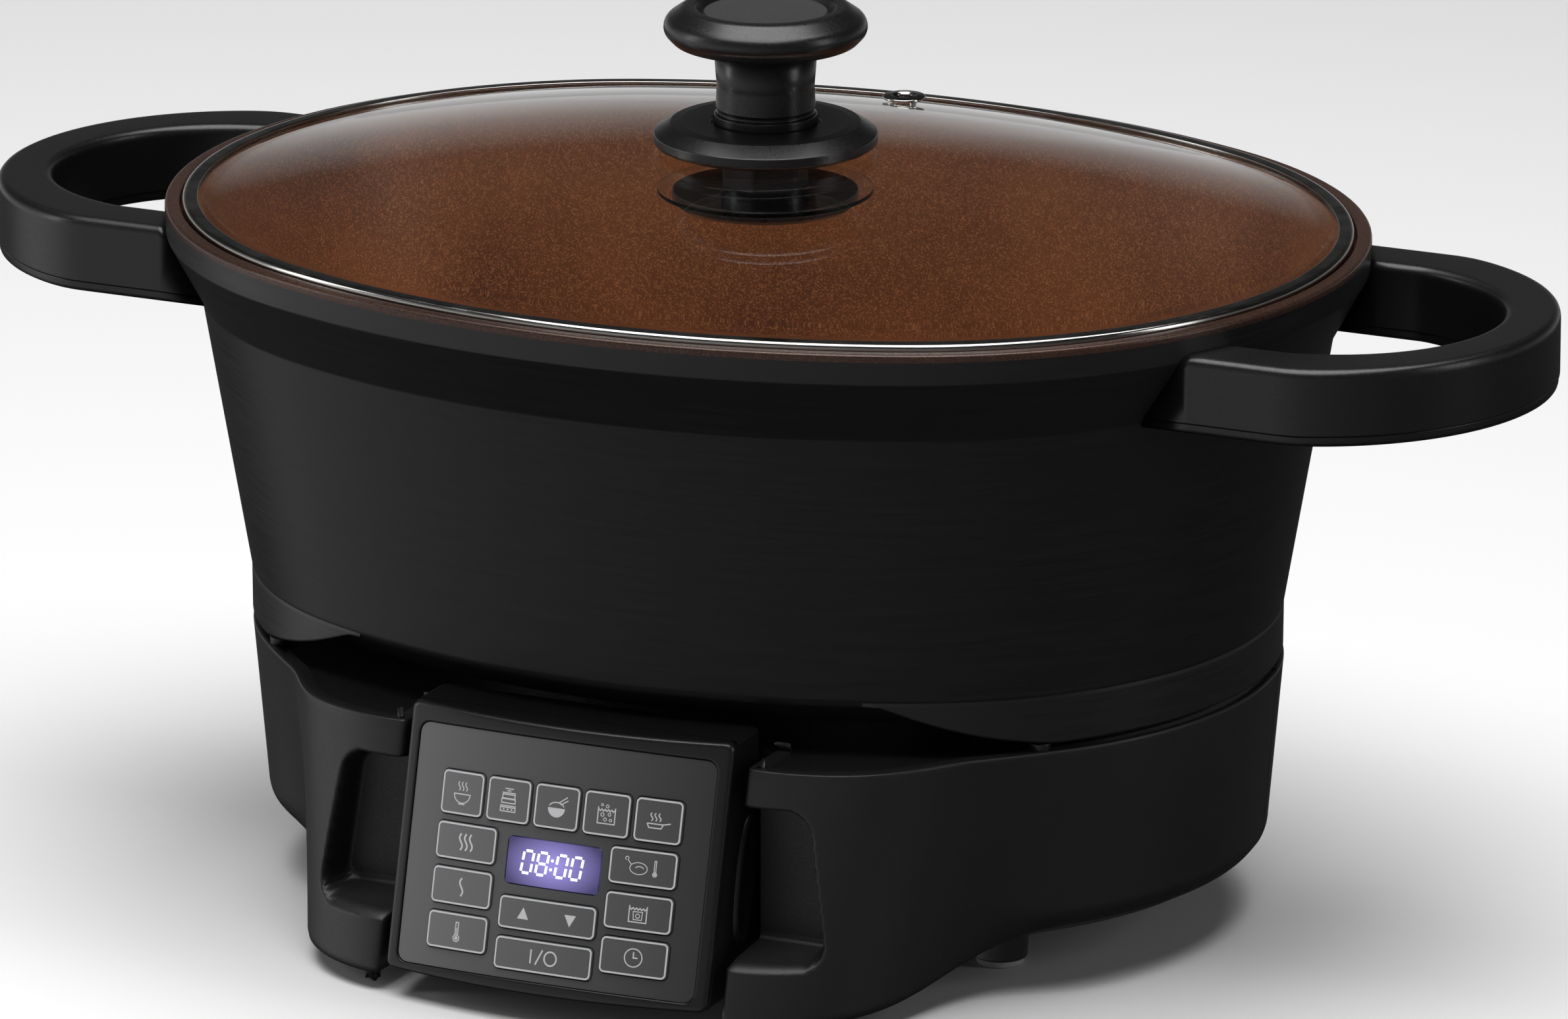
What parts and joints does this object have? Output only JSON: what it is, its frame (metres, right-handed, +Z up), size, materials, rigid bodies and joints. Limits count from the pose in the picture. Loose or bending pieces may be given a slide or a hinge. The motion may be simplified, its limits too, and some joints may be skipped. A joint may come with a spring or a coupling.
{
  "type": "oval slow cooker",
  "caption": "Oval countertop slow cooker: lift-out cast pot with loop handles, domed glass lid with turned knob, heated base with a slide-out control module.",
  "frame": {"origin": "on the table, below the middle of the overall box; the pot's and knob's axis stands 5.2 mm behind it", "axes": "+Z up, +X along the pot's long axis to the right, the control panel faces -Y"},
  "size_m": [0.489, 0.2988, 0.2652],
  "materials": {
    "pot_shell": "cast aluminium with black satin stove enamel outside and a speckled copper-brown non-stick coat inside and over the rim",
    "handle_black": "heat-proof phenolic plastic, black, fine satin",
    "bracket_steel": "pressed steel, plain",
    "screw_steel": "zinc-plated steel",
    "clear_glass": "toughened clear glass with a faint green edge",
    "rim_steel": "polished stainless steel band",
    "knob_black": "black satin phenolic plastic",
    "knob_grain": "soft-touch black insert with a fine grain",
    "stem_black": "black anodised satin metal",
    "seal_clear": "translucent silicone rubber",
    "shell_black": "black plastic with a fine moulded grain",
    "deck_black": "black plastic, plain satin",
    "floor_black": "black moulded plastic",
    "foot_rubber": "light grey rubber pads",
    "plate_aluminium": "cast aluminium heating plate, machined top",
    "element_steel": "sheathed heating tube",
    "pan_steel": "pressed bright reflector pan",
    "sensor_metal": "bright aluminium cap",
    "spring_steel": "spring wire",
    "fuse_ceramic": "ceramic body in a steel clip",
    "board_green": "green glass-fibre circuit board with its parts",
    "terminal_white": "cream moulded terminal block",
    "inlet_black": "black moulded appliance inlet",
    "pin_brass": "brass pins",
    "module_black": "satin black plastic",
    "overlay_grey": "dark grey graded panel skin",
    "key_grey": "dark grey keys with printed silver-white outlines and symbols",
    "lens_violet": "tinted clear lens with violet-blue glow",
    "display_white": "white light-emitting digit block"
  },
  "bodies": {
    "base": {"base_shell_right": "shell_black", "base_shell_left": "shell_black", "base_shell_rear": "shell_black", "base_deck": "deck_black", "base_floor": "floor_black", "foot_pads": "foot_rubber", "deck_posts": "floor_black", "base_screws": "screw_steel", "heating_plate": "plate_aluminium", "heating_element": "element_steel", "heat_pan": "pan_steel", "plate_posts": "bracket_steel", "sensor_cup": "bracket_steel", "sensor_spring": "spring_steel", "thermal_fuse": "fuse_ceramic", "power_board": "board_green", "terminal_block": "terminal_white", "power_inlet": "inlet_black", "inlet_pins": "pin_brass", "module_socket": "terminal_white"},
    "sensor": {"sensor_button": "sensor_metal"},
    "control_module": {"module_bezel": "module_black", "key_overlay": "overlay_grey", "display_window": "lens_violet", "display_block": "display_white", "control_board": "board_green", "module_screws": "screw_steel", "module_housing": "module_black", "module_plug": "terminal_white"},
    "pot": {"pot_body": "pot_shell", "handle_right": "handle_black", "handle_left": "handle_black", "handle_cover_right": "handle_black", "handle_cover_left": "handle_black", "handle_brackets": "bracket_steel", "handle_screws": "screw_steel"},
    "lid": {"lid_rim": "rim_steel", "lid_glass": "clear_glass", "vent_eyelet": "rim_steel", "knob_flange": "knob_black", "knob_stem": "stem_black", "knob_cap": "knob_black", "knob_insert": "knob_grain", "hex_spacer": "knob_black", "inner_seal": "seal_clear", "inner_disc": "knob_black", "knob_screw": "screw_steel"},
    "slow_cook_key": {"key_slow_cook": "key_grey"},
    "steam_key": {"key_steam": "key_grey"},
    "rice_key": {"key_rice": "key_grey"},
    "water_bath_key": {"key_water_bath": "key_grey"},
    "sear_key": {"key_sear": "key_grey"},
    "high_key": {"key_high": "key_grey"},
    "low_key": {"key_low": "key_grey"},
    "keep_warm_key": {"key_keep_warm": "key_grey"},
    "roast_key": {"key_roast": "key_grey"},
    "bag_cook_key": {"key_bag_cook": "key_grey"},
    "timer_key": {"key_timer": "key_grey"},
    "power_key": {"key_power": "key_grey"},
    "adjust_key": {"key_adjust": "key_grey"}
  },
  "joints": [
    {"name": "pot_lift", "type": "slide", "parent": "base", "child": "pot", "axis": [0, 0, 1], "range_m": [0, 0.12]},
    {"name": "lid_lift", "type": "slide", "parent": "pot", "child": "lid", "axis": [0, 0, 1], "range_m": [0, 0.1]},
    {"name": "module_pull", "type": "slide", "parent": "base", "child": "control_module", "axis": [0, -1, 0], "range_m": [0, 0.08]},
    {"name": "sensor_press", "type": "slide", "parent": "base", "child": "sensor", "axis": [0, 0, -1], "range_m": [0, 0.002], "stiffness_N_per_m": 400, "springref_m": -0.002, "deforming": ["sensor_spring"]},
    {"name": "key_slow_cook_press", "type": "slide", "parent": "control_module", "child": "slow_cook_key", "axis": [0, 0.969, -0.247], "range_m": [0, 0.0005], "stiffness_N_per_m": 1500},
    {"name": "key_steam_press", "type": "slide", "parent": "control_module", "child": "steam_key", "axis": [0, 0.969, -0.247], "range_m": [0, 0.0005], "stiffness_N_per_m": 1500},
    {"name": "key_rice_press", "type": "slide", "parent": "control_module", "child": "rice_key", "axis": [0, 0.969, -0.247], "range_m": [0, 0.0005], "stiffness_N_per_m": 1500},
    {"name": "key_water_bath_press", "type": "slide", "parent": "control_module", "child": "water_bath_key", "axis": [0, 0.969, -0.247], "range_m": [0, 0.0005], "stiffness_N_per_m": 1500},
    {"name": "key_sear_press", "type": "slide", "parent": "control_module", "child": "sear_key", "axis": [0, 0.969, -0.247], "range_m": [0, 0.0005], "stiffness_N_per_m": 1500},
    {"name": "key_high_press", "type": "slide", "parent": "control_module", "child": "high_key", "axis": [0, 0.969, -0.247], "range_m": [0, 0.0005], "stiffness_N_per_m": 1500},
    {"name": "key_low_press", "type": "slide", "parent": "control_module", "child": "low_key", "axis": [0, 0.969, -0.247], "range_m": [0, 0.0005], "stiffness_N_per_m": 1500},
    {"name": "key_keep_warm_press", "type": "slide", "parent": "control_module", "child": "keep_warm_key", "axis": [0, 0.969, -0.247], "range_m": [0, 0.0005], "stiffness_N_per_m": 1500},
    {"name": "key_roast_press", "type": "slide", "parent": "control_module", "child": "roast_key", "axis": [0, 0.969, -0.247], "range_m": [0, 0.0005], "stiffness_N_per_m": 1500},
    {"name": "key_bag_cook_press", "type": "slide", "parent": "control_module", "child": "bag_cook_key", "axis": [0, 0.969, -0.247], "range_m": [0, 0.0005], "stiffness_N_per_m": 1500},
    {"name": "key_timer_press", "type": "slide", "parent": "control_module", "child": "timer_key", "axis": [0, 0.969, -0.247], "range_m": [0, 0.0005], "stiffness_N_per_m": 1500},
    {"name": "key_power_press", "type": "slide", "parent": "control_module", "child": "power_key", "axis": [0, 0.969, -0.247], "range_m": [0, 0.0005], "stiffness_N_per_m": 1500},
    {"name": "key_adjust_rock", "type": "hinge", "parent": "control_module", "child": "adjust_key", "pos_m": [0.0012, -0.14125, 0.03054], "axis": [0, 0.247, 0.969], "range_deg": [-1, 1], "stiffness_Nm_per_rad": 0.25}
  ]
}
